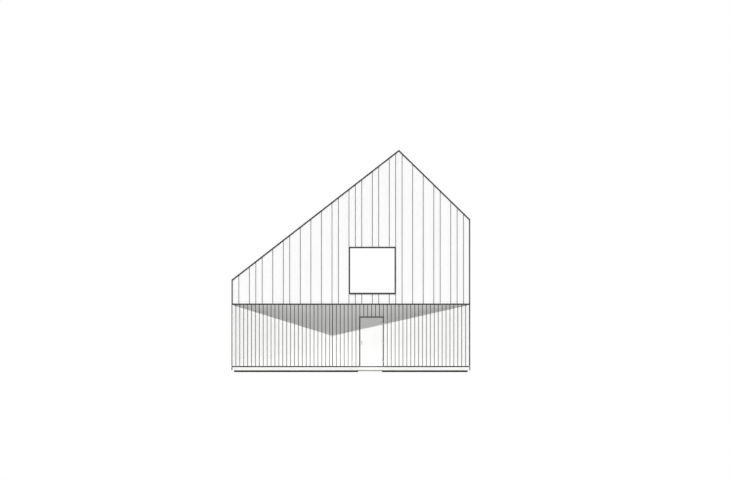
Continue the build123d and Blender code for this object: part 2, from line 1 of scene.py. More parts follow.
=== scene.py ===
import json
import logging
import math
import random
from collections.abc import Callable, Iterator
from contextlib import contextmanager
from dataclasses import dataclass
from enum import Enum
from functools import partial

import bmesh
import bpy
from bpy.types import Material, Node, NodeSocket, NodeTree, Object
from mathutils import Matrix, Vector

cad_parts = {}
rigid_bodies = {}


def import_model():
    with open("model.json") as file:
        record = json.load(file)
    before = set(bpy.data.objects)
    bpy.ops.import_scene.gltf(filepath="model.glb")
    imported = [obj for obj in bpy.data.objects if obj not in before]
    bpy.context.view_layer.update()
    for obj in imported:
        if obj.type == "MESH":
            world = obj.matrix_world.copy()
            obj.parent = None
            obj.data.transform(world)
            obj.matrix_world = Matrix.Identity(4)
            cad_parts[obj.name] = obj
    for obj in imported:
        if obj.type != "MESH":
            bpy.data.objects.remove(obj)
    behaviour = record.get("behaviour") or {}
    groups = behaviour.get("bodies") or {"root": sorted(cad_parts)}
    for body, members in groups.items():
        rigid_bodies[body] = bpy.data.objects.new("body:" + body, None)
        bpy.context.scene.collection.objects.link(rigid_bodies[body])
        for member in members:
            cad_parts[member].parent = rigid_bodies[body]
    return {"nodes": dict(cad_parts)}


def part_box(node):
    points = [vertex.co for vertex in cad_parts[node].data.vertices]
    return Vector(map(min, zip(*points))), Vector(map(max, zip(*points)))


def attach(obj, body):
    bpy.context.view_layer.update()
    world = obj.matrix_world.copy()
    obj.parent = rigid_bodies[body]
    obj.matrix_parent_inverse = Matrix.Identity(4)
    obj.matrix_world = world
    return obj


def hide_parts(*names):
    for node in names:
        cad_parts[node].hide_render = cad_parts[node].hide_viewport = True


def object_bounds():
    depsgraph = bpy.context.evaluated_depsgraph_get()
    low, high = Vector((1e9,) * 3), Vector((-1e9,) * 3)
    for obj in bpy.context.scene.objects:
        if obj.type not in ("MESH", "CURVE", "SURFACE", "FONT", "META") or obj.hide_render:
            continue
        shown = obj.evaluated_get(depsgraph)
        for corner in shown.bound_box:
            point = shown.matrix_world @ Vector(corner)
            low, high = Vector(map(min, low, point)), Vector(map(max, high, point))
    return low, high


# A two-storey timber house: a block in standing-seam sheet over a boarded ground storey
# whose entrance front folds inwards. Units are metres, with small sizes in MM.
# X runs to the right along the front, Y to the back and Z up.

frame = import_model()
cad_low, cad_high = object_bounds()

MM = 0.001
# Points that are nearer than this count as being in one place
TOUCH = 1 * MM
# More than the depth of anything that is cut right through
CLEAR = 1.0
X, Y, Z = Vector((1.0, 0.0, 0.0)), Vector((0.0, 1.0, 0.0)), Vector((0.0, 0.0, 1.0))
# The cosine between two directions is over ALONG where they run alike, under ACROSS where they cross
ALONG = 0.9
ACROSS = 0.1
# Nearly all values of a noise pattern lie between these
NOISE_SPAN = {"From Min": 0.3, "From Max": 0.7}
WHITE_PAINT = "#F5F5F4"
BLACK_COAT = "#18191A"
WINDOW_COAT = "#202122"
BLACK_RUBBER = "#151515"
STAINLESS = "#C9C9C8"
PALE_SPRUCE = "#E9E0CC"
PHOTO_WIDTH = 730
PHOTO_HEIGHT = 480
log = logging.getLogger("house")


def linear(hex_colour: str) -> tuple[float, float, float, float]:
    """Turn an sRGB hex colour into linear light.

    Args:
        hex_colour: A colour such as "#F2F1EE".

    Returns:
        Red, green, blue and full alpha.
    """
    shares = [int(hex_colour[i:i + 2], 16) / 255 for i in (1, 3, 5)]
    light = [s / 12.92 if s <= 0.04045 else ((s + 0.055) / 1.055) ** 2.4 for s in shares]
    return (*light, 1.0)


def plug(node: Node, inputs: dict) -> None:
    """Set or link a node's inputs.

    Args:
        node: The node.
        inputs: For each input, by its name or number, a value, an output socket, or a node
            that gives its first output.
    """
    for name, value in inputs.items():
        source = value.outputs[0] if isinstance(value, Node) else value
        if isinstance(source, NodeSocket):
            node.id_data.links.new(source, node.inputs[name])
        else:
            node.inputs[name].default_value = source


def add_node(tree: NodeTree, kind: str, inputs: dict | None = None, **settings) -> Node:
    """Add one shader node, with its settings and links.

    Args:
        tree: The tree that takes the node.
        kind: The node's type, without the words ShaderNode.
        inputs: What goes into its inputs, as plug takes it.
        settings: The node's own settings.

    Returns:
        The new node.
    """
    node = tree.nodes.new("ShaderNode" + kind)
    for name, value in settings.items():
        setattr(node, name, value)
    plug(node, inputs or {})
    return node


def wire(material: Material, inputs: dict) -> Material:
    """Set or link the inputs of a material's shader.

    Args:
        material: The material.
        inputs: What goes into the shader, as plug takes it.

    Returns:
        The same material.
    """
    plug(material.node_tree.nodes["Principled BSDF"], inputs)
    return material


class Run(Enum):
    """The way that timber grain or scratches run, as the squeeze of a pattern's coordinates."""

    ALONG_Y = (1.0, 0.04, 1.0)
    ALONG_Z = (1.0, 1.0, 0.04)


@dataclass(frozen=True)
class Finish:
    """A material with the real one's name, colour and gloss."""

    name: str
    colour: str
    roughness: float
    metallic: float = 0.0

    def start(self) -> tuple[Material, Callable[..., Node], NodeSocket]:
        """Make the material with its even values on the shader.

        Returns:
            The material, the function that adds a node to it, and its Object coordinates.
        """
        material = bpy.data.materials.new(self.name)
        material.use_nodes = True
        even = {"Base Color": linear(self.colour), "Roughness": self.roughness, "Metallic": self.metallic}
        add = partial(add_node, material.node_tree)
        return wire(material, even), add, add("TexCoord").outputs["Object"]

    def shaded(self, add: Callable[..., Node], share: Node) -> Node:
        """Scale the colour by a pattern's share of it."""
        return add("VectorMath", {0: linear(self.colour)[:3], "Scale": share}, operation="SCALE")


@dataclass(frozen=True)
class CoilCoatedSheet(Finish):
    """Galvanised steel sheet with a baked polyester coat, folded into standing seams.

    The pans between the seams are never quite flat, so the light swims over them.
    The orange peel of the coat is about 1 mm wide and is drawn coarser so that it shows.
    """

    pan_wave: float = 900 * MM
    pan_depth: float = 12 * MM
    peel: float = 40 * MM
    peel_depth: float = 1 * MM
    dimmest: float = 0.985

    def make(self) -> Material:
        """Build the coated pans.

        Returns:
            The material.
        """
        material, add, place = self.start()
        cloud = add("TexNoise", {"Vector": place, "Scale": 1 / self.pan_wave, "Detail": 2.0})
        share = add("MapRange", {"Value": cloud, **NOISE_SPAN, "To Min": self.dimmest})
        peel = add("TexNoise", {"Vector": place, "Scale": 1 / self.peel, "Detail": 3.0})
        fine = add("Bump", {"Height": peel, "Strength": 0.05, "Distance": self.peel_depth})
        swell = add("Bump", {"Height": cloud, "Strength": 0.25, "Distance": self.pan_depth, "Normal": fine})
        return wire(material, {"Base Color": self.shaded(add, share), "Normal": swell})


@dataclass(frozen=True)
class PaintedTimber(Finish):
    """Planed spruce with two coats of opaque paint, brushed on along the grain.

    The grain shows as long shallow furrows, and no two boards take the paint alike.
    Furrows are 2 to 5 mm wide and are drawn coarser so that they show.
    """

    run: Run = Run.ALONG_Z
    furrow: float = 25 * MM
    depth: float = 0.8 * MM
    dimmest: float = 0.985
    spread: float = 0.02
    shift: float = 10.0

    def make(self) -> Material:
        """Build the painted grain, which each board's own tone shifts and shades.

        Returns:
            The material.
        """
        material, add, place = self.start()
        board = add("Attribute", attribute_name="board_tone").outputs["Fac"]
        own = add("Math", {0: board, 1: self.shift}, operation="MULTIPLY")
        along = add("Mapping", {"Vector": place, "Scale": self.run.value})
        inputs = {"Vector": along, "W": own, "Scale": 1 / self.furrow, "Detail": 4.0}
        grain = add("TexNoise", inputs, noise_dimensions="4D")
        streak = add("MapRange", {"Value": grain, **NOISE_SPAN, "To Min": self.dimmest})
        light = add("MapRange", {"Value": board, "To Min": 1.0, "To Max": 1.0 - self.spread})
        both = add("Math", {0: light, 1: streak}, operation="MULTIPLY")
        relief = add("Bump", {"Height": grain, "Strength": 0.4, "Distance": self.depth})
        return wire(material, {"Base Color": self.shaded(add, both), "Normal": relief})


@dataclass(frozen=True)
class PlankedTimber(Finish):
    """Planks or lamellas of spruce side by side, with a fine joint between them.

    Each plank has a colour of its own, and its grain runs along it.
    """

    dark: str = "#D3BE97"
    joint_colour: str = "#6A5A44"
    run: Run = Run.ALONG_Z
    across: Vector = X
    plank: float = 140 * MM
    joint: float = 3 * MM
    grain: float = 14 * MM
    grain_depth: float = 0.6 * MM
    grain_share: float = 0.6

    def make(self) -> Material:
        """Build the planks from the distance across them.

        Returns:
            The material.
        """
        material, add, place = self.start()
        reach = add("VectorMath", {0: place, 1: self.across}, operation="DOT_PRODUCT").outputs["Value"]
        count = add("Math", {0: reach, 1: self.plank}, operation="DIVIDE")
        number = add("Math", {0: count}, operation="FLOOR")
        own = add("TexWhiteNoise", {"W": number}, noise_dimensions="1D")
        along = add("Mapping", {"Vector": place, "Scale": self.run.value})
        inputs = {"Vector": along, "W": own, "Scale": 1 / self.grain, "Detail": 5.0}
        grain = add("TexNoise", inputs, noise_dimensions="4D")
        ring = add("MapRange", {"Value": grain, **NOISE_SPAN, "To Max": self.grain_share})
        tone = add("Math", {0: own, 1: 1 - self.grain_share}, operation="MULTIPLY")
        both = add("Math", {0: ring, 1: tone}, operation="ADD")
        ends = {"Factor": both, 6: linear(self.colour), 7: linear(self.dark)}
        wood = add("Mix", ends, data_type="RGBA").outputs[2]
        rest = add("Math", {0: count}, operation="FRACT")
        is_joint = add("Math", {0: rest, 1: self.joint / self.plank}, operation="LESS_THAN")
        ends = {"Factor": is_joint, 6: wood, 7: linear(self.joint_colour)}
        lined = add("Mix", ends, data_type="RGBA").outputs[2]
        relief = add("Bump", {"Height": grain, "Strength": 0.3, "Distance": self.grain_depth})
        return wire(material, {"Base Color": lined, "Normal": relief})


@dataclass(frozen=True)
class EvenCoat(Finish):
    """A coat with a fine leathery skin: baked powder or polyester on metal, or bitumen on concrete.

    Its skin is about 1 mm wide and is drawn coarser so that it shows.
    """

    skin: float = 12 * MM
    skin_depth: float = 0.5 * MM
    skin_strength: float = 0.15
    cloud: float = 625 * MM
    wear: float = 0.06

    def make(self) -> Material:
        """Build the skin and the slight clouds of wear.

        Returns:
            The material.
        """
        material, add, place = self.start()
        skin = add("TexNoise", {"Vector": place, "Scale": 1 / self.skin, "Detail": 2.0})
        cloud = add("TexNoise", {"Vector": place, "Scale": 1 / self.cloud, "Detail": 3.0})
        share = add("MapRange", {"Value": cloud, "To Min": 1.0 - self.wear, "To Max": 1.0 + self.wear})
        relief = add("Bump", {"Height": skin, "Strength": self.skin_strength, "Distance": self.skin_depth})
        return wire(material, {"Base Color": self.shaded(add, share), "Normal": relief})


@dataclass(frozen=True)
class ExtrudedRubber(EvenCoat):
    """EPDM rubber pushed through a die, with fine grit and a dusty matt bloom on its skin."""

    skin: float = 3 * MM
    skin_depth: float = 0.2 * MM
    skin_strength: float = 0.2
    cloud: float = 60 * MM
    wear: float = 0.3


@dataclass(frozen=True)
class WovenFabric(Finish):
    """Polyester fabric with an acrylic coat, whose threads still show.

    The threads are under 1 mm wide and are drawn coarser so that they show.
    """

    thread: float = 6 * MM
    thread_depth: float = 0.5 * MM
    gap_tone: float = 0.7

    def make(self) -> Material:
        """Build the weave from warp and weft.

        Returns:
            The material.
        """
        material, add, place = self.start()
        inputs = {"Vector": place, "Scale": 1 / self.thread}
        warp = add("TexWave", inputs, bands_direction="DIAGONAL").outputs["Fac"]
        weft = add("TexWave", inputs, bands_direction="Z").outputs["Fac"]
        weave = add("Math", {0: warp, 1: weft}, operation="MAXIMUM")
        share = add("MapRange", {"Value": weave, "To Min": self.gap_tone})
        relief = add("Bump", {"Height": weave, "Strength": 0.3, "Distance": self.thread_depth})
        return wire(material, {"Base Color": self.shaded(add, share), "Normal": relief})


@dataclass(frozen=True)
class PerforatedStrip(Finish):
    """Black coated steel strip with rows of round holes that keep insects out."""

    spacing: float = 10 * MM
    hole: float = 6 * MM
    hole_depth: float = 1 * MM
    hole_tone: float = 0.1
    rim_start: float = 0.8

    def make(self) -> Material:
        """Build the holes as dark dimples in an even grid.

        Returns:
            The material.
        """
        material, add, place = self.start()
        grid = add("TexVoronoi", {"Vector": place, "Scale": 1 / self.spacing, "Randomness": 0.0})
        rim = self.hole / self.spacing / 2
        span = {"From Min": rim * self.rim_start, "From Max": rim, "To Min": self.hole_tone}
        share = add("MapRange", {"Value": grid, **span})
        relief = add("Bump", {"Height": share, "Strength": 0.6, "Distance": self.hole_depth})
        return wire(material, {"Base Color": self.shaded(add, share), "Normal": relief})


@dataclass(frozen=True)
class FairFacedConcrete(Finish):
    """White concrete cast against smooth panels: cloudy, with small open pores, whose darker tone is painted
    shade.

    Its sand grains are 1 to 2 mm wide and are drawn coarser so that they show.
    """

    cloud: float = 800 * MM
    dimmest: float = 0.955
    pore_spacing: float = 45 * MM
    pore_radius: float = 0.06
    pore_rim: float = 0.12
    painted_pore_shade: float = 0.75
    pore_depth: float = 2 * MM
    sand: float = 8 * MM
    sand_depth: float = 0.6 * MM

    def make(self) -> Material:
        """Build the clouds, the sand grain and the pores, whose radii are shares of their spacing; the pores
        are darkened with painted shade.

        Returns:
            The material.
        """
        material, add, place = self.start()
        cloud = add("TexNoise", {"Vector": place, "Scale": 1 / self.cloud, "Detail": 6.0})
        tone = add("MapRange", {"Value": cloud, **NOISE_SPAN, "To Min": self.dimmest})
        cells = add("TexVoronoi", {"Vector": place, "Scale": 1 / self.pore_spacing})
        # Painted shade: the pores are darkened as if shade fell into them
        span = {"From Min": self.pore_radius, "From Max": self.pore_rim, "To Min": self.painted_pore_shade}
        skin = add("MapRange", {"Value": cells, **span})
        both = add("Math", {0: tone, 1: skin}, operation="MULTIPLY")
        sand = add("TexNoise", {"Vector": place, "Scale": 1 / self.sand, "Detail": 4.0})
        rough = add("Bump", {"Height": sand, "Strength": 0.2, "Distance": self.sand_depth})
        pits = add("Bump", {"Height": skin, "Strength": 0.5, "Distance": self.pore_depth, "Normal": rough})
        return wire(material, {"Base Color": self.shaded(add, both), "Normal": pits})


@dataclass(frozen=True)
class SealedGlass(Finish):
    """Low-iron float glass in a sealed unit: clear, smooth and a little reflecting."""

    index: float = 1.5
    bow: float = 600 * MM
    bow_depth: float = 1 * MM

    def make(self) -> Material:
        """Build clear glass whose panes bow very slightly.

        Returns:
            The material.
        """
        material, add, place = self.start()
        bow = add("TexNoise", {"Vector": place, "Scale": 1 / self.bow, "Detail": 1.0})
        relief = add("Bump", {"Height": bow, "Strength": 0.05, "Distance": self.bow_depth})
        return wire(material, {"Transmission Weight": 1.0, "IOR": self.index, "Normal": relief})


@dataclass(frozen=True)
class BrushedSteel(Finish):
    """Stainless steel ground with a belt, so its gloss is drawn out in one direction."""

    scratch: float = 3 * MM
    scratch_depth: float = 0.2 * MM
    gloss_spread: float = 0.08

    def make(self) -> Material:
        """Build the fine upright scratches.

        Returns:
            The material.
        """
        material, add, place = self.start()
        along = add("Mapping", {"Vector": place, "Scale": Run.ALONG_Z.value})
        lines = add("TexNoise", {"Vector": along, "Scale": 1 / self.scratch, "Detail": 3.0})
        low, high = self.roughness - self.gloss_spread, self.roughness + self.gloss_spread
        gloss = add("MapRange", {"Value": lines, "To Min": low, "To Max": high})
        relief = add("Bump", {"Height": lines, "Strength": 0.1, "Distance": self.scratch_depth})
        return wire(material, {"Roughness": gloss, "Normal": relief})


def dress(piece: Object, material: Material) -> None:
    """Give a piece one material all over."""
    piece.data.materials.clear()
    piece.data.materials.append(material)


def points_of(node: str) -> list[Vector]:
    """The corner points of a node's mesh, in the house's own frame."""
    return [vertex.co.copy() for vertex in frame["nodes"][node].data.vertices]


def pick(piece: Object) -> None:
    """Select one piece alone and make it active.

    Args:
        piece: The piece.
    """
    bpy.ops.object.select_all(action="DESELECT")
    piece.select_set(True)
    bpy.context.view_layer.objects.active = piece


def settle(piece: Object) -> None:
    """Put a piece's place, turn and size into its mesh."""
    pick(piece)
    bpy.ops.object.transform_apply(location=True, rotation=True, scale=True)


def put(piece: Object, place: Vector, turn: float = 0.0) -> None:
    """Turn a piece about Z and move it, with its place in its mesh afterwards.

    Args:
        piece: The piece, made near the origin.
        place: Where its origin goes.
        turn: The angle about Z.
    """
    piece.rotation_euler.z = turn
    piece.location = place
    settle(piece)


def create(name: str, operator: Callable[..., set[str]], **settings) -> Object:
    """Add an object with nothing else selected.

    Args:
        name: The object's name.
        operator: The operator that adds it.
        settings: The operator's settings.

    Returns:
        The new object.
    """
    bpy.ops.object.select_all(action="DESELECT")
    operator(**settings)
    bpy.context.object.name = name
    return bpy.context.object


def add_block(name: str, corner: tuple | Vector, far: tuple | Vector) -> Object:
    """Add a cube that fills a box.

    Args:
        name: The piece's name.
        corner: One corner of the box.
        far: The opposite corner.

    Returns:
        The new piece, with its place in its mesh.
    """
    low, high = (Vector([end(pair) for pair in zip(corner, far)]) for end in (min, max))
    add = bpy.ops.mesh.primitive_cube_add
    piece = create(name, add, size=1, location=(low + high) / 2, scale=high - low)
    settle(piece)
    return piece


def add_disc(name: str, radius: float, thickness: float, corners: int) -> Object:
    """Add a disc that stands on the XZ plane's front, from the origin towards -Y.

    Args:
        name: The piece's name.
        radius: The disc's radius.
        thickness: How far it reaches forward.
        corners: How many sides its rim has.

    Returns:
        The new piece, with its place in its mesh.
    """
    sizes = {"vertices": corners, "radius": radius, "depth": thickness}
    place = {"location": Y * -thickness / 2, "rotation": X * math.pi / 2}
    piece = create(name, bpy.ops.mesh.primitive_cylinder_add, **sizes, **place)
    settle(piece)
    return piece


@contextmanager
def editing(piece: Object, mode: str, action: str = "DESELECT") -> Iterator[bmesh.types.BMesh]:
    """Open a piece in edit mode and close it again.

    Args:
        piece: The piece to open.
        mode: VERT, EDGE or FACE.
        action: SELECT starts with all of it selected, DESELECT with nothing.

    Yields:
        The mesh being edited, for selecting by place.
    """
    pick(piece)
    bpy.ops.object.mode_set(mode="EDIT")
    bpy.ops.mesh.select_mode(type=mode)
    bpy.ops.mesh.select_all(action=action)
    yield bmesh.from_edit_mesh(piece.data)
    bpy.ops.object.mode_set(mode="OBJECT")


def bevel_edges(piece: Object, width: float, test: Callable[[Vector, Vector], bool]) -> None:
    """Chamfer some of a piece's edges.

    Args:
        piece: The piece to chamfer.
        width: The chamfer's width.
        test: Says of an edge's middle and direction whether it is chamfered.
    """
    with editing(piece, "EDGE") as mesh:
        for edge in mesh.edges:
            start, end = (vertex.co for vertex in edge.verts)
            edge.select_set(test((start + end) / 2, (end - start).normalized()))
        bmesh.update_edit_mesh(piece.data)
        bpy.ops.mesh.bevel(offset=width, segments=1, affect="EDGES")


def cut_off(piece: Object, point: tuple, outward: tuple) -> None:
    """Saw a piece along a plane and close the cut.

    Args:
        piece: The piece to saw.
        point: A point of the plane.
        outward: The plane's normal, towards what falls away.
    """
    with editing(piece, "FACE", "SELECT"):
        bpy.ops.mesh.bisect(plane_co=point, plane_no=outward, use_fill=True, clear_outer=True)


def modify(piece: Object, kind: str, **settings) -> None:
    """Add one modifier to a piece and apply it.

    Args:
        piece: The piece.
        kind: The modifier's type.
        settings: The modifier's settings.
    """
    pick(piece)
    modifier = piece.modifiers.new(kind, kind)
    for name, value in settings.items():
        setattr(modifier, name, value)
    bpy.ops.object.modifier_apply(modifier=modifier.name)


def repeat(piece: Object, count: int, step: Vector) -> None:
    """Copy a piece at even steps into one mesh.

    Args:
        piece: The piece to copy.
        count: How many there are in the end.
        step: The way from one to the next.
    """
    offset = {"use_relative_offset": False, "use_constant_offset": True, "constant_offset_displace": step}
    modify(piece, "ARRAY", count=count, **offset)


def cut_out(piece: Object, corner: tuple | Vector, far: tuple | Vector) -> None:
    """Cut a box out of a piece.

    Args:
        piece: The piece to cut.
        corner: One corner of the box.
        far: The opposite corner.
    """
    cutter = add_block("cutter", corner, far)
    modify(piece, "BOOLEAN", operation="DIFFERENCE", solver="EXACT", object=cutter)
    bpy.data.objects.remove(cutter)


def join(name: str, pieces: list[Object]) -> Object:
    """Join pieces into one.

    Args:
        name: The joined piece's name.
        pieces: The pieces, of which the first takes in the rest.

    Returns:
        The joined piece.
    """
    pick(pieces[0])
    for piece in pieces:
        piece.select_set(True)
    bpy.ops.object.join()
    pieces[0].name = name
    return pieces[0]


def hand_over(piece: Object, material: Material, body: str = "house") -> None:
    """Dress a finished piece and let it ride on its body.

    Args:
        piece: The finished piece.
        material: Its material.
        body: The body that carries it.
    """
    dress(piece, material)
    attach(piece, body)
    log.info("%s: %d faces", piece.name, len(piece.data.polygons))


@dataclass(frozen=True)
class Reach:
    """How far something reaches along a side, into the house and up."""

    left: float
    right: float
    front: float
    back: float
    foot: float
    head: float

    def box(self, gap: float, front: float, back: float) -> tuple[Vector, Vector]:
        """The box between two depths whose outline stands a gap outside this one.

        Args:
            gap: The gap along and up, negative where the box is inside.
            front: The depth of the box's front.
            back: The depth of its back.

        Returns:
            The box's lowest and highest corner.
        """
        low = Vector((self.left - gap, front, self.foot - gap))
        return low, Vector((self.right + gap, back, self.head + gap))


def reach_of(points: list[Vector], start: Vector, way: Vector) -> Reach:
    """Measure points in a side's own frame.

    Args:
        points: The points.
        start: Where the side starts.
        way: The side's direction.

    Returns:
        How far they reach.
    """
    inward = Z.cross(way)
    along = [(p - start).dot(way) for p in points]
    deep = [(p - start).dot(inward) for p in points]
    levels = [p.z for p in points]
    return Reach(min(along), max(along), min(deep), max(deep), min(levels), max(levels))


@dataclass(frozen=True)
class BoardedFinishes:
    """The materials of a boarded side."""

    board: Material
    tongue: Material
    batten: Material
    membrane: Material
    vent: Material
    screw: Material


@dataclass
class BoardedSide:
    """Vertical boards with black tongues in their joints, on battens over a membrane.

    It is made with X along the side as seen from outside and Y into the house, and then
    put in its place. Its corners are the plan's corner before it, its own two and the next.
    """

    name: str
    node: str
    corners: list[Vector]
    first_board: float
    pitch: float
    covers: tuple[float, float]
    bottom: float
    top: float
    openings: list[Reach]
    seed: int
    layer: float = 60 * MM
    thickness: float = 24 * MM
    joint: float = 28 * MM
    shortest_board: float = 90 * MM
    foot_gap: float = 32 * MM
    head_gap: float = 4 * MM
    frame_gap: float = 3 * MM
    chamfer: float = 2 * MM
    drip: float = 8 * MM
    tongue_depth: float = 5 * MM
    tongue_thickness: float = 8 * MM
    tongue_hold: float = 3 * MM
    tongue_lift: float = 1 * MM
    profile_thickness: float = 30 * MM
    batten: float = 44 * MM
    batten_margin: float = 20 * MM
    batten_rows: int = 5
    membrane: float = 3 * MM
    vent_leaf: float = 2 * MM
    vent_height: float = 36 * MM
    screw_radius: float = 4.5 * MM
    screw_height: float = 0.8 * MM
    screw_chamfer: float = 0.3 * MM
    screw_corners: int = 8
    screw_from_edge: float = 28 * MM

    @property
    def length(self) -> float:
        """The side's length."""
        return (self.corners[2] - self.corners[1]).length

    @property
    def foot(self) -> float:
        """The level of the boards' lower ends."""
        return self.bottom + self.foot_gap

    @property
    def head(self) -> float:
        """The level of the boards' upper ends."""
        return self.top - self.head_gap

    @property
    def joints(self) -> int:
        """How many joints the side has."""
        return 1 + int((self.length - self.first_board - self.shortest_board) / self.pitch)

    @property
    def membrane_front(self) -> float:
        """The depth of the membrane's front, which the battens and the vent strip reach."""
        return self.layer - self.membrane

    @property
    def lowest_row(self) -> float:
        """The level of the lowest batten's lower edge."""
        return self.bottom + self.vent_height + self.batten_margin

    @property
    def row_step(self) -> Vector:
        """The way from one row of battens to the next."""
        highest = self.head - self.batten - self.batten_margin
        return Z * (highest - self.lowest_row) / (self.batten_rows - 1)

    def place(self, piece: Object) -> None:
        """Put a piece of the side in its place on the house."""
        way = self.corners[2] - self.corners[1]
        put(piece, self.corners[1], math.atan2(way.y, way.x))

    def make_board(self, left: float, right: float) -> Object:
        """Model one planed board with eased edges and a foot cut to a drip.

        Args:
            left: Its left edge, along the side.
            right: Its right edge.

        Returns:
            The board.
        """
        board = add_block("board", (left, 0.0, self.foot), (right, self.thickness, self.head))

        def is_front_edge(middle: Vector, way: Vector) -> bool:
            """Whether an edge is upright and at the board's face."""
            return abs(way.z) > ALONG and middle.y < self.thickness / 2

        bevel_edges(board, self.chamfer, is_front_edge)
        cut_off(board, (left, 0.0, self.foot), (0.0, self.drip, -self.thickness))
        return board

    def make_boards(self) -> Object:
        """Model the first, the even and the last boards, and give each its own tone.

        Returns:
            The boards, as one piece.
        """
        rng = random.Random(self.seed)
        half = self.joint / 2
        last = self.first_board + self.pitch * (self.joints - 1)
        groups = [
            self.make_board(self.covers[0], self.first_board - half),
            self.make_board(self.first_board + half, self.first_board + self.pitch - half),
            self.make_board(last + half, self.length - self.covers[1]),
        ]
        faces = len(groups[0].data.polygons)
        repeat(groups[1], self.joints - 1, X * self.pitch)
        boards = join(self.name + "_boards", groups)
        tones = [rng.random() for _ in range(self.joints + 1)]
        tone = boards.data.attributes.new("board_tone", "FLOAT", "FACE")
        tone.data.foreach_set("value", [tones[i // faces] for i in range(len(boards.data.polygons))])
        return boards

    def make_tongues(self) -> Object:
        """Model the loose tongue that sits in the grooves of two boards, and repeat it.

        Returns:
            The tongues, as one piece.
        """
        half = self.joint / 2 + self.tongue_hold
        foot = self.foot + self.tongue_lift
        low = (self.first_board - half, self.tongue_depth, foot)
        high = (self.first_board + half, self.tongue_depth + self.tongue_thickness, self.head)
        tongues = add_block(self.name + "_tongues", low, high)
        cut_off(tongues, (0.0, 0.0, foot), (0.0, self.drip, -self.thickness))
        repeat(tongues, self.joints, X * self.pitch)
        return tongues

    def make_backing(self, layer: str, front: float, back: float, foot: float, head: float) -> Object:
        """Add a layer that runs past both ends of the side, for its corners to be cut later.

        Args:
            layer: What the layer is.
            front: The depth of its front.
            back: The depth of its back.
            foot: The level of its foot.
            head: The level of its head.

        Returns:
            The layer.
        """
        name = f"{self.name}_{layer}"
        return add_block(name, (-self.layer, front, foot), (self.length + self.layer, back, head))

    def make_battens(self) -> Object:
        """Model one row of battens and repeat it up the wall.

        Returns:
            The battens, as one piece.
        """
        foot, back = self.lowest_row, self.membrane_front
        battens = self.make_backing("battens", self.thickness, back, foot, foot + self.batten)
        bevel_edges(battens, self.chamfer, lambda middle, way: abs(way.x) > ALONG)
        repeat(battens, self.batten_rows, self.row_step)
        return battens

    def make_vent(self) -> Object:
        """Model the angle of perforated strip that closes the gap under the boards.

        Returns:
            The angle.
        """
        front, back = self.thickness, self.membrane_front
        vent = self.make_backing("vent", front, back, self.bottom, self.bottom + self.vent_leaf)
        upright = front + self.vent_leaf
        with editing(vent, "FACE", "SELECT"):
            bpy.ops.mesh.bisect(plane_co=(0.0, upright, 0.0), plane_no=(0.0, 1.0, 0.0))
        with editing(vent, "FACE") as mesh:
            for face in mesh.faces:
                face.select_set(face.normal.z > ALONG and face.calc_center_median().y < upright)
            bmesh.update_edit_mesh(vent.data)
            rise = Z * (self.vent_height - self.vent_leaf)
            bpy.ops.mesh.extrude_region_move(TRANSFORM_OT_translate={"value": rise})
        return vent

    def make_screws(self) -> Object:
        """Model one screw head and repeat it at both edges of each even board on each row.

        Returns:
            The screw heads, as one piece.
        """
        screws = add_disc(self.name + "_screws", self.screw_radius, self.screw_height, self.screw_corners)

        def is_rim(middle: Vector, way: Vector) -> bool:
            """Whether an edge is on the rim of the head's face."""
            return abs(way.y) < ACROSS and middle.y < -self.screw_height / 2

        bevel_edges(screws, self.screw_chamfer, is_rim)
        from_joint = self.joint / 2 + self.screw_from_edge
        repeat(screws, 2, X * (self.pitch - 2 * from_joint))
        repeat(screws, self.joints - 1, X * self.pitch)
        repeat(screws, self.batten_rows, self.row_step)
        put(screws, Vector((self.first_board + from_joint, 0.0, self.lowest_row + self.batten / 2)))
        with editing(screws, "VERT") as mesh:
            for hole in self.openings:
                low, high = hole.box(2 * self.screw_radius, -self.layer, self.layer)
                for vertex in mesh.verts:
                    if low.x < vertex.co.x < high.x and low.z < vertex.co.z < high.z:
                        vertex.select_set(True)
            mesh.select_flush_mode()
            bpy.ops.mesh.select_linked()
            bpy.ops.mesh.delete(type="VERT")
        return screws

    def mitre(self, piece: Object) -> None:
        """Cut both ends of a piece to the planes that halve the angles inside the corners.

        Args:
            piece: The piece, made along X.
        """
        for k, end, side in ((1, 0.0, -1), (2, self.length, 1)):
            back, ahead = (self.corners[j] - self.corners[k] for j in (k - 1, k + 1))
            angle = (math.atan2(back.y, back.x) - math.atan2(ahead.y, ahead.x)) % math.tau
            cut_off(piece, (end, 0.0, 0.0), (side * math.sin(angle / 2), math.cos(angle / 2), 0.0))

    def build(self, finishes: BoardedFinishes) -> None:
        """Make the side's layers, cut its openings and put it in its place.

        Args:
            finishes: The materials of the layers.
        """
        boards, tongues, screws = self.make_boards(), self.make_tongues(), self.make_screws()
        battens = self.make_battens()
        membrane = self.make_backing("membrane", self.membrane_front, self.layer, self.bottom, self.top)
        vent = self.make_vent()
        for piece in (battens, membrane, vent):
            self.mitre(piece)
        for piece in (boards, tongues, battens, membrane, vent):
            for hole in self.openings:
                cut_out(piece, *hole.box(self.frame_gap, -2 * self.layer, 2 * self.layer))
        for piece, material, slot in (
            (boards, finishes.board, "painted_boards"),
            (tongues, finishes.tongue, "wall_membrane"),
            (battens, finishes.batten, "wall_membrane"),
            (membrane, finishes.membrane, "wall_membrane"),
            (vent, finishes.vent, "wall_membrane"),
            (screws, finishes.screw, "hardware_steel"),
        ):
            self.place(piece)
            hand_over(piece, material)
        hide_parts(self.node)

    def make_corner_leaf(self, at_end: bool) -> Object:
        """Model this side's half of the metal profile that covers a corner.

        Args:
            at_end: Whether it is the corner at the side's end.

        Returns:
            The half profile, in its place.
        """
        width = self.covers[1] if at_end else self.covers[0]
        start = self.length - width if at_end else 0.0
        leaf = add_block("leaf", (start, 0.0, self.foot), (start + width, self.profile_thickness, self.top))
        self.mitre(leaf)
        self.place(leaf)
        return leaf


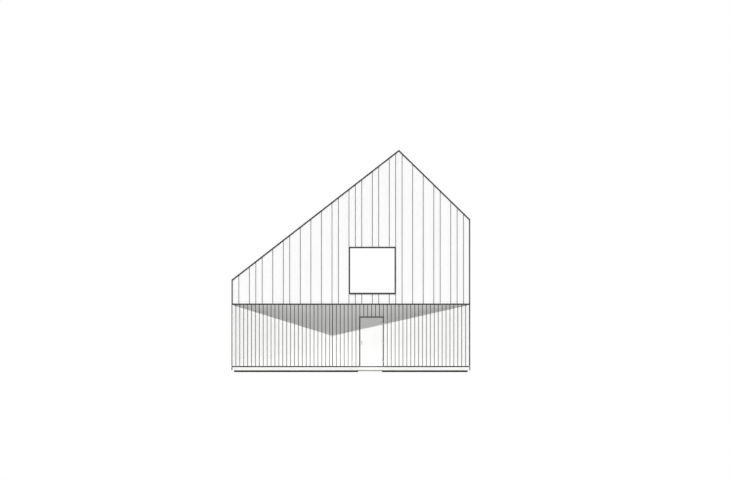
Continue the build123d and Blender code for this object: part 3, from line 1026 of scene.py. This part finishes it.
@dataclass
class GroundStorey:
    """The five boarded sides of the ground storey, with profiles on their corners."""

    left_facet_first: float = 195 * MM
    left_facet_pitch: float = 172.1 * MM
    right_facet_pitch: float = 169 * MM
    boards_along_side: int = 70
    boards_along_back: int = 59
    left_profile: float = 38 * MM
    right_profile: float = 52 * MM
    fold_gap: float = 16 * MM

    def corners(self) -> list[Vector]:
        """Read the plan from the platform and from the fold of the entrance front.

        Returns:
            Its five corners, anticlockwise from the front left one.
        """
        low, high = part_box("floor_platform")
        fold = max(points_of("front_boards_left"), key=lambda point: point.x)
        outline = [(low.x, low.y), (fold.x, fold.y), (high.x, low.y), (high.x, high.y), (low.x, high.y)]
        return [Vector((x, y, 0.0)) for x, y in outline]

    def opening(self, node: str, start: Vector, end: Vector, limit: float) -> Reach:
        """The outline of a frame, along a side and up.

        Args:
            node: The frame's node.
            start: The side's start.
            end: The side's end.
            limit: The level above which the node's points belong to another storey.

        Returns:
            The opening that the frame fills.
        """
        way = (end - start).normalized()
        inward = Z.cross(way)
        points = [p for p in points_of(node) if p.z < limit and abs((p - start).dot(inward)) < TOUCH]
        return reach_of(points, start, way)

    def sides(self) -> list[BoardedSide]:
        """Set out the five sides.

        Returns:
            The sides, anticlockwise from the left facet.
        """
        corners = self.corners()
        low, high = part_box("front_boards_left")
        first, left_pitch, right_pitch = self.left_facet_first, self.left_facet_pitch, self.right_facet_pitch
        side_pitch = (corners[3] - corners[2]).length / self.boards_along_side
        back_pitch = (corners[4] - corners[3]).length / self.boards_along_back
        left, right, fold = self.left_profile, self.right_profile, self.fold_gap
        plan = (
            ("left_facet", "front_boards_left", None, first, left_pitch, (left, fold)),
            ("right_facet", "front_boards_right", "door_frame", right_pitch, right_pitch, (fold, right)),
            ("right_side", "right_boards", "side_window_frames", side_pitch, side_pitch, (right, left)),
            ("back_side", "back_boards", "back_window_frames", back_pitch, back_pitch, (left, left)),
            ("left_side", "left_boards", "side_window_frames", side_pitch, side_pitch, (left, left)),
        )
        sides = []
        for i, (name, node, filled, first_board, pitch, covers) in enumerate(plan):
            near = [corners[(i + k) % len(corners)] for k in (-1, 0, 1, 2)]
            holes = [self.opening(filled, near[1], near[2], high.z)] if filled else []
            sides.append(BoardedSide(name, node, near, first_board, pitch, covers, low.z, high.z, holes, i))
        return sides

    def build(self) -> None:
        """Make all sides and their corner profiles."""
        finishes = BoardedFinishes(
            # Matt opaque paint, so the boards look soft and almost chalky
            board=PaintedTimber("painted_spruce_boards", WHITE_PAINT, 0.55).make(),
            # Black stain that leaves the grain open, so the joints read as dark lines
            tongue=PaintedTimber("black_stained_spruce_tongues", "#101010", 0.75).make(),
            batten=PaintedTimber("black_stained_spruce_battens", "#161616", 0.8, run=Run.ALONG_Y).make(),
            # Black coated fabric, quite matt
            membrane=WovenFabric("black_facade_membrane", "#0D0D0D", 0.9).make(),
            # Thin black strip whose holes look like a fine mesh
            vent=PerforatedStrip("black_perforated_steel", "#141414", 0.6).make(),
            # Bright stainless heads, small glints on the boards
            screw=BrushedSteel("stainless_steel_screws", STAINLESS, 0.35, 1.0).make(),
        )
        # Folded sheet with the flashings' black coat, a low sheen on straight edges
        profile = EvenCoat("coil_coated_corner_profile", BLACK_COAT, 0.5).make()
        sides = self.sides()
        for side in sides:
            side.build(finishes)
        for name, before, after in (
            ("front_left_profile", 4, 0),
            ("front_right_profile", 1, 2),
            ("back_right_profile", 2, 3),
            ("back_left_profile", 3, 4),
        ):
            leaves = [sides[before].make_corner_leaf(True), sides[after].make_corner_leaf(False)]
            hand_over(join(name, leaves), profile)


@dataclass
class SteelEdging:
    """Steel strips that guard the edges of the platform and of the step."""

    corner_face: float = 38 * MM
    edge_face: float = 16 * MM
    step_face: float = 28 * MM
    thickness: float = 3 * MM

    def make_corner_angles(self) -> Object:
        """Model the upright angles on the platform's four corners, two leaves each.

        Returns:
            The angles, set over the concrete.
        """
        low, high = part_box("floor_platform")
        leaves = []
        for x, inward_x in ((low.x, 1), (high.x, -1)):
            for y, inward_y in ((low.y, 1), (high.y, -1)):
                for wide, deep in ((self.corner_face, -self.thickness), (-self.thickness, self.corner_face)):
                    far = (x + inward_x * wide, y + inward_y * deep, high.z)
                    leaves.append(add_block("leaf", (x, y, low.z), far))
        return join("platform_corner_angles", leaves)

    def make_edge_strip(self) -> Object:
        """Model the strip round the platform's upper edge.

        Returns:
            The strip, as one ring.
        """
        low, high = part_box("floor_platform")
        out = (X + Y) * self.thickness
        base = Vector((low.x, low.y, high.z - self.edge_face))
        ring = add_block("platform_edge_strip", base - out, high + out)
        cut_out(ring, base - Z * CLEAR, high + Z * CLEAR)
        return ring

    def make_step_frame(self) -> Object:
        """Model the strip round the face of the step, cut out of one plate.

        Returns:
            The strip.
        """
        low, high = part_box("entrance_step")
        plate = add_block("step_edging", low - Y * self.thickness, (high.x, low.y, high.z))
        inner = (low.x + self.step_face, low.y - CLEAR, low.z - CLEAR)
        cut_out(plate, inner, (high.x - self.step_face, low.y + CLEAR, high.z - self.step_face))
        return plate

    def build(self) -> None:
        """Make the corner angles and the strip of the platform, and the frame of the step."""
        # Galvanised steel under the flashings' black coat, dull and even
        steel = EvenCoat("coated_steel_edging", BLACK_COAT, 0.55).make()
        for piece in (self.make_corner_angles(), self.make_edge_strip(), self.make_step_frame()):
            hand_over(piece, steel)


@dataclass
class SeamCaps:
    """The dark caps that snap over the standing seams of one sheeted face."""

    node: str
    outward: Vector
    along: Vector
    widening: float = 5 * MM
    depth: float = 12 * MM
    proud: float = 2 * MM
    fold: float = 3 * MM
    flat: float = 0.99
    doubles: float = 0.1 * MM
    straight: float = math.radians(1)

    def make_heads(self, head: float) -> Object:
        """Take the flat heads of the seams from a copy of the sheet, and sink them.

        Args:
            head: How far out the heads are.

        Returns:
            The heads, as flat strips at the depth of the caps' edges.
        """
        sheet = frame["nodes"][self.node]
        caps = bpy.data.objects.new(self.node + "_seam_caps", sheet.data.copy())
        bpy.context.scene.collection.objects.link(caps)
        with editing(caps, "FACE") as mesh:
            for face in mesh.faces:
                away = head - face.calc_center_median().dot(self.outward)
                face.select_set(face.normal.dot(self.outward) < self.flat or away > TOUCH)
            bmesh.update_edit_mesh(caps.data)
            bpy.ops.mesh.delete(type="FACE")
            bpy.ops.mesh.select_all(action="SELECT")
            bpy.ops.mesh.remove_doubles(threshold=self.doubles)
            bpy.ops.mesh.dissolve_limited(angle_limit=self.straight)
            bpy.ops.transform.translate(value=self.outward * -self.depth)
        return caps

    def widen(self, caps: Object) -> None:
        """Move the left and the right edges of the strips apart.

        Args:
            caps: The strips.
        """
        across = self.outward.cross(self.along)
        # To the millimetre, so that every second place is a right edge
        places = sorted({round(vertex.co.dot(across), 3) for vertex in caps.data.vertices})
        for is_right, way in ((0, -1), (1, 1)):
            with editing(caps, "VERT") as mesh:
                for vertex in mesh.verts:
                    nearest = min(places, key=lambda place: abs(place - vertex.co.dot(across)))
                    vertex.select_set(places.index(nearest) % 2 == is_right)
                mesh.select_flush_mode()
                bmesh.update_edit_mesh(caps.data)
                bpy.ops.transform.translate(value=across * self.widening * way)

    def build(self, material: Material) -> None:
        """Model the caps from the seams' own heads, and widen, deepen and fold them.

        Args:
            material: The coat of the caps.
        """
        head = max(point.dot(self.outward) for point in points_of(self.node))
        caps = self.make_heads(head)
        self.widen(caps)
        with editing(caps, "FACE", "SELECT"):
            rise = self.outward * (self.depth + self.proud)
            bpy.ops.mesh.extrude_region_move(TRANSFORM_OT_translate={"value": rise})
            bpy.ops.mesh.select_all(action="SELECT")
            bpy.ops.mesh.normals_make_consistent(inside=False)

        def is_fold(middle: Vector, way: Vector) -> bool:
            """Whether an edge runs along the seams, on top of a cap."""
            away = head + self.proud - middle.dot(self.outward)
            return away < TOUCH and abs(way.dot(self.along)) > ALONG

        bevel_edges(caps, self.fold, is_fold)
        hand_over(caps, material)


@dataclass
class WindowFittings:
    """The gasket round a pane and the sloped sill in front of it."""

    name: str
    pane: str
    outward: Vector
    lowest: float
    highest: float
    glass_hold: float = 12 * MM
    gasket_width: float = 4 * MM
    gasket_depth: float = 6 * MM
    lap: float = 1 * MM
    sash_front: float = 24 * MM
    sill_front: float = 128 * MM
    sill_rise: float = 9 * MM
    sill_edge: float = 1 * MM

    def make_gasket(self, pane: Reach) -> Object:
        """Model the rubber ring in front of the pane, with a chamfered lip.

        Args:
            pane: The pane's reach.

        Returns:
            The gasket, in the window's own frame.
        """
        outer = self.glass_hold - self.lap
        gasket = add_block(self.name + "_gasket", *pane.box(-outer, -self.gasket_depth, 0.0))
        inner, front = self.glass_hold + self.gasket_width, -self.gasket_depth / 2
        cut_out(gasket, *pane.box(-inner, -CLEAR, CLEAR))

        def is_lip(middle: Vector, way: Vector) -> bool:
            """Whether an edge is the ring's inner edge in front."""
            beside = (middle.x - pane.left, pane.right - middle.x, middle.z - pane.foot, pane.head - middle.z)
            return middle.y < front and abs(way.y) < ACROSS and abs(min(beside) - inner) < TOUCH

        bevel_edges(gasket, self.gasket_width / 2, is_lip)
        return gasket

    def make_sill(self, pane: Reach) -> Object:
        """Model the sill as a wedge that falls to the front.

        Args:
            pane: The pane's reach.

        Returns:
            The sill, in the window's own frame.
        """
        low = (pane.left, -self.sill_front, pane.foot)
        high = (pane.right, -self.sash_front, pane.foot + self.sill_rise)
        sill = add_block(self.name + "_sill", low, high)
        run, rise = self.sill_front - self.sash_front, self.sill_rise - self.sill_edge
        cut_off(sill, (0.0, -self.sill_front, pane.foot + self.sill_edge), (0.0, -rise, run))
        return sill

    def build(self, rubber: Material, metal: Material) -> None:
        """Make both pieces and put them in their place.

        Args:
            rubber: The gasket's material.
            metal: The sill's material.
        """
        way = Z.cross(self.outward)
        points = [
            p for p in points_of(self.pane) if p.dot(self.outward) > 0 and self.lowest < p.z < self.highest
        ]
        pane = reach_of(points, Vector(), way)
        for piece, material, slot in (
            (self.make_gasket(pane), rubber, "gasket"),
            (self.make_sill(pane), metal, "window_metal"),
        ):
            put(piece, self.outward * -pane.front, math.atan2(way.y, way.x))
            hand_over(piece, material)


@dataclass
class DoorFittings:
    """The gasket on the door frame's stop and the key plates on the leaf."""

    fold: Vector
    corner: Vector
    gasket_gap: float = 1 * MM
    gasket_thickness: float = 4 * MM
    gasket_outside: float = 1 * MM
    gasket_inside: float = 6 * MM
    gasket_chamfer: float = 1 * MM
    stop_level: float = 2281 * MM
    sill_level: float = 250 * MM
    plate_radius: float = 24 * MM
    plate_thickness: float = 4 * MM
    plate_chamfer: float = 1 * MM
    plate_corners: int = 40
    plate_below_knob: float = 95 * MM
    key_width: float = 6 * MM
    key_height: float = 18 * MM
    key_depth: float = 3 * MM

    def make_gasket(self, leaf: Reach) -> Object:
        """Model the rubber ring behind the leaf, open at the sill.

        Args:
            leaf: The leaf's reach.

        Returns:
            The gasket, in the facet's own frame.
        """
        near, outside, inside = leaf.back + self.gasket_gap, self.gasket_outside, self.gasket_inside
        low = (leaf.left - outside, near, self.sill_level)
        high = (leaf.right + outside, near + self.gasket_thickness, leaf.head - outside)
        gasket = add_block("door_gasket", low, high)
        cut_out(gasket, (leaf.left + inside, 0.0, 0.0), (leaf.right - inside, CLEAR, self.stop_level))

        def is_front_edge(middle: Vector, way: Vector) -> bool:
            """Whether an edge is in the face towards the leaf."""
            return middle.y < near + TOUCH and abs(way.y) < ACROSS

        bevel_edges(gasket, self.gasket_chamfer, is_front_edge)
        return gasket

    def make_key_plate(self, name: str) -> Object:
        """Model a round key plate with an eased rim and a keyhole.

        Args:
            name: The plate's name.

        Returns:
            The plate, standing on the plane y = 0 and looking towards -Y.
        """
        plate = add_disc(name, self.plate_radius, self.plate_thickness, self.plate_corners)
        bevel_edges(plate, self.plate_chamfer, lambda middle, way: middle.y < TOUCH - self.plate_thickness)
        half = X * self.key_width / 2 + Z * self.key_height / 2
        floor = self.key_depth - self.plate_thickness
        cut_out(plate, -half - Y * self.plate_thickness * 2, half + Y * floor)
        return plate

    def build(self, rubber: Material, steel: Material) -> None:
        """Make the gasket and the key plates.

        Args:
            rubber: The gasket's material.
            steel: The plates' material.
        """
        way = (self.corner - self.fold).normalized()
        turn = math.atan2(way.y, way.x)
        leaf, knob = (reach_of(points_of(node), self.fold, way) for node in ("door_leaf", "door_knobs"))
        gasket = self.make_gasket(leaf)
        put(gasket, self.fold, turn)
        hand_over(gasket, rubber)
        level = (knob.foot + knob.head) / 2 - self.plate_below_knob
        foot = self.fold + way * (knob.left + knob.right) / 2 + Z * level
        for name, depth, about in (
            ("outer_key_plate", leaf.front, 0.0),
            ("inner_key_plate", leaf.back, math.pi),
        ):
            plate = self.make_key_plate(name)
            put(plate, foot + Z.cross(way) * depth, turn + about)
            hand_over(plate, steel, "door")


@dataclass
class Envelope:
    """The nodes that keep their shape, dressed in their real materials."""

    def slope(self, node: str) -> Vector:
        """The direction that a roof slope looks in."""
        upward = [face for face in frame["nodes"][node].data.polygons if face.normal.z > ACROSS]
        return max(upward, key=lambda face: face.area).normal.copy()

    def cap_seams(self) -> None:
        """Put the caps on the seams of the walls and the roof."""
        # A dark grey coat, paler than the flashings', so the seams are drawn fine over the pale pans
        coat = EvenCoat("coil_coated_seam_caps", "#3C3D3E", 0.5).make()
        walls = {"front_sheeting": -Y, "back_sheeting": Y, "left_sheeting": -X, "right_sheeting": X}
        for node, outward in walls.items():
            SeamCaps(node, outward, Z).build(coat)
        for node in ("roof_sheeting_left", "roof_sheeting_right"):
            outward = self.slope(node)
            SeamCaps(node, outward, outward.cross(Y)).build(coat)

    def fit_windows(self) -> None:
        """Put the gaskets and sills into the five windows."""
        # Black rubber with a grey bloom, the thin dark edge of each pane
        rubber = ExtrudedRubber("extruded_rubber_gasket", BLACK_RUBBER, 0.7).make()
        # The window frames' own coat
        metal = EvenCoat("powder_coated_sill", WINDOW_COAT, 0.45).make()
        middle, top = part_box("base_flashing")[0].z, cad_high[2]
        for name, pane, outward, lowest, highest in (
            ("front_window", "front_window_glass", -Y, middle, top),
            ("back_gable_window", "back_window_glass", Y, middle, top),
            ("back_window", "back_window_glass", Y, 0.0, middle),
            ("left_window", "side_window_glass", -X, 0.0, middle),
            ("right_window", "side_window_glass", X, 0.0, middle),
        ):
            WindowFittings(name, pane, outward, lowest, highest).build(rubber, metal)

    def build(self) -> None:
        """Cap the seams, fit the windows and dress every node that stays."""
        self.cap_seams()
        self.fit_windows()
        beam = {"dark": "#C8AC78", "run": Run.ALONG_Y, "across": Z, "plank": 40 * MM, "joint": 0.6 * MM}
        dressed = (
            # Nearly white coat with a low sheen over slightly wavy pans
            (CoilCoatedSheet("coil_coated_steel_sheet", "#FAFAFA", 0.42),
             ["front_sheeting", "back_sheeting", "left_sheeting", "right_sheeting",
              "roof_sheeting_left", "roof_sheeting_right", "ridge_cap"]),
            # Folded sheet with a black coat, a low sheen on straight edges
            (EvenCoat("coil_coated_flashing", BLACK_COAT, 0.5),
             ["base_flashing", "front_edge_trim", "back_edge_trim"]),
            # Extruded aluminium with a satin powder coat, dark and crisp
            (EvenCoat("powder_coated_aluminium", WINDOW_COAT, 0.45),
             ["front_window_frame", "back_window_frames", "side_window_frames"]),
            # Folded steel door frame with a lighter powder coat
            (EvenCoat("powder_coated_steel", "#4E4F50", 0.5), ["door_frame"]),
            # White cement and pale sand, matt and slightly cloudy
            (FairFacedConcrete("white_fair_faced_concrete", "#F4F4F2", 0.8), ["floor_platform"]),
            (FairFacedConcrete("precast_white_concrete", "#EAEAE8", 0.8), ["entrance_step"]),
            # Black bituminous coat on the base, dull and a little lumpy; its black is partly painted shade,
            # for the shadow in the recess under the platform
            (EvenCoat("bituminous_coat_painted_shade", "#1E1E1F", 0.75, skin=30 * MM), ["foundation"]),
            # Pale spruce inside, matt, with its planks upright on the walls
            (PlankedTimber("spruce_panel_front", PALE_SPRUCE, 0.6),
             ["front_wall_left", "front_wall_middle", "front_wall_right", "front_wall_over_door",
              "back_wall", "front_gable_wall", "back_gable_wall"]),
            (PlankedTimber("spruce_panel_side", PALE_SPRUCE, 0.6, across=Y),
             ["left_wall", "right_wall", "left_upper_wall", "right_upper_wall"]),
            (PlankedTimber("spruce_ceiling", PALE_SPRUCE, 0.6, run=Run.ALONG_Y), ["roof_left", "roof_right"]),
            # Oiled floor boards, a little darker and smoother
            (PlankedTimber("oiled_spruce_floor", "#D9C8A6", 0.5, dark="#C4AC80", run=Run.ALONG_Y),
             ["upper_floor"]),
            # Thin lamellas glued on top of each other
            (PlankedTimber("glued_laminated_spruce", "#DCC69C", 0.6, **beam), ["ridge_beam"]),
            # The boards' paint on the porch ceiling and, smoother, on the door
            (PaintedTimber("painted_spruce_lining", WHITE_PAINT, 0.55, run=Run.ALONG_Y), ["porch_soffit"]),
            (PaintedTimber("painted_door_panel", "#F2F2F1", 0.42, furrow=40 * MM, depth=0.3 * MM),
             ["door_leaf"]),
            # Clear float glass, which shows what lies behind it
            (SealedGlass("low_iron_glass", "#FFFFFF", 0.0),
             ["front_window_glass", "back_window_glass", "side_window_glass"]),
            # Ground stainless steel, bright with a drawn-out gloss
            (BrushedSteel("brushed_stainless_steel", STAINLESS, 0.32, 1.0),
             ["hinge_plates", "hinge_flags", "door_knobs"]),
        )
        for finish, nodes in dressed:
            material = finish.make()
            for node in nodes:
                dress(frame["nodes"][node], material)
            log.info("%s: %s", finish.name, ", ".join(nodes))


@dataclass
class Studio:
    """The floor, the soft light, the sun and the camera."""

    metres_per_pixel: float = 0.042095
    middle_pixel: float = 350.87
    ground_pixel: float = 372.1
    distance: float = 60.0
    far_limit: float = 500.0
    floor_size: float = 400.0
    sun_strength: float = 2.86
    sun_size: float = math.radians(0.6)
    sun_aside: float = 0.06
    sun_height: float = 20.0
    front_sky: float = 0.12
    back_sky: float = 0.55
    back_edge: float = 0.6

    def build(self) -> None:
        """Make the floor, the world, the sun and the camera."""
        self.add_floor()
        self.add_world()
        self.add_sun()
        self.add_camera()

    def add_floor(self) -> None:
        """Lay a wide pale floor at ground level."""
        floor = create("floor", bpy.ops.mesh.primitive_plane_add, size=self.floor_size)
        dress(floor, EvenCoat("pale_floor", "#D6D6D6", 0.9, wear=0.0).make())

    def add_world(self) -> None:
        """Give an even sky, brighter behind the house, that camera, glass and metal see as white."""
        world = bpy.data.worlds.new("studio")
        bpy.context.scene.world = world
        world.use_nodes = True
        add = partial(add_node, world.node_tree)
        white = (1.0, 1.0, 1.0, 1.0)
        deep = add("SeparateXYZ", {0: add("TexCoord").outputs["Generated"]}).outputs["Y"]
        levels = {"From Max": self.back_edge, "To Min": self.front_sky, "To Max": self.back_sky}
        level = add("MapRange", {"Value": deep, **levels})
        rays = add("LightPath").outputs
        seen = add("Math", {0: rays["Is Camera Ray"], 1: rays["Is Glossy Ray"]}, operation="MAXIMUM")
        shown = add("Math", {0: seen, 1: rays["Is Transmission Ray"]}, operation="MAXIMUM")
        sky = add("Background", {"Color": white, "Strength": level})
        backdrop = add("Background", {"Color": white, "Strength": 1.0})
        both = add("MixShader", {0: shown, 1: sky, 2: backdrop})
        plug(world.node_tree.nodes["World Output"], {"Surface": both})

    def add_sun(self) -> None:
        """Let the sun fall at 45 degrees on the front, so that a shadow is as long as a recess is deep."""
        sun = create("Sun", bpy.ops.object.light_add, type="SUN", location=Z * self.sun_height)
        sun.data.energy = self.sun_strength
        sun.data.angle = self.sun_size
        way = X * self.sun_aside + Y - Z
        sun.rotation_euler = way.to_track_quat("-Z", "Y").to_euler()

    def add_camera(self) -> None:
        """Look square at the front, framed as the drawing is."""
        middle_x = (PHOTO_WIDTH / 2 - self.middle_pixel) * self.metres_per_pixel
        middle_z = (self.ground_pixel - PHOTO_HEIGHT / 2) * self.metres_per_pixel
        place = (middle_x, -self.distance, middle_z)
        camera = create("Camera", bpy.ops.object.camera_add, location=place, rotation=X * math.pi / 2)
        camera.data.type = "ORTHO"
        camera.data.ortho_scale = PHOTO_WIDTH * self.metres_per_pixel
        camera.data.clip_end = self.far_limit
        bpy.context.scene.camera = camera


def main() -> None:
    """Dress the house, add its boards and set up the studio."""
    logging.basicConfig(level=logging.INFO, format="%(name)s: %(message)s")
    bpy.context.scene.view_settings.view_transform = "Standard"
    Envelope().build()
    storey = GroundStorey()
    storey.build()
    # Black rubber on the door's stop
    rubber = ExtrudedRubber("extruded_rubber_door_gasket", BLACK_RUBBER, 0.7).make()
    # Ground steel plates round the keyholes
    steel = BrushedSteel("brushed_steel_key_plates", STAINLESS, 0.32, 1.0).make()
    DoorFittings(*storey.corners()[1:3]).build(rubber, steel)
    SteelEdging().build()
    Studio().build()


if __name__ == "__main__":
    main()
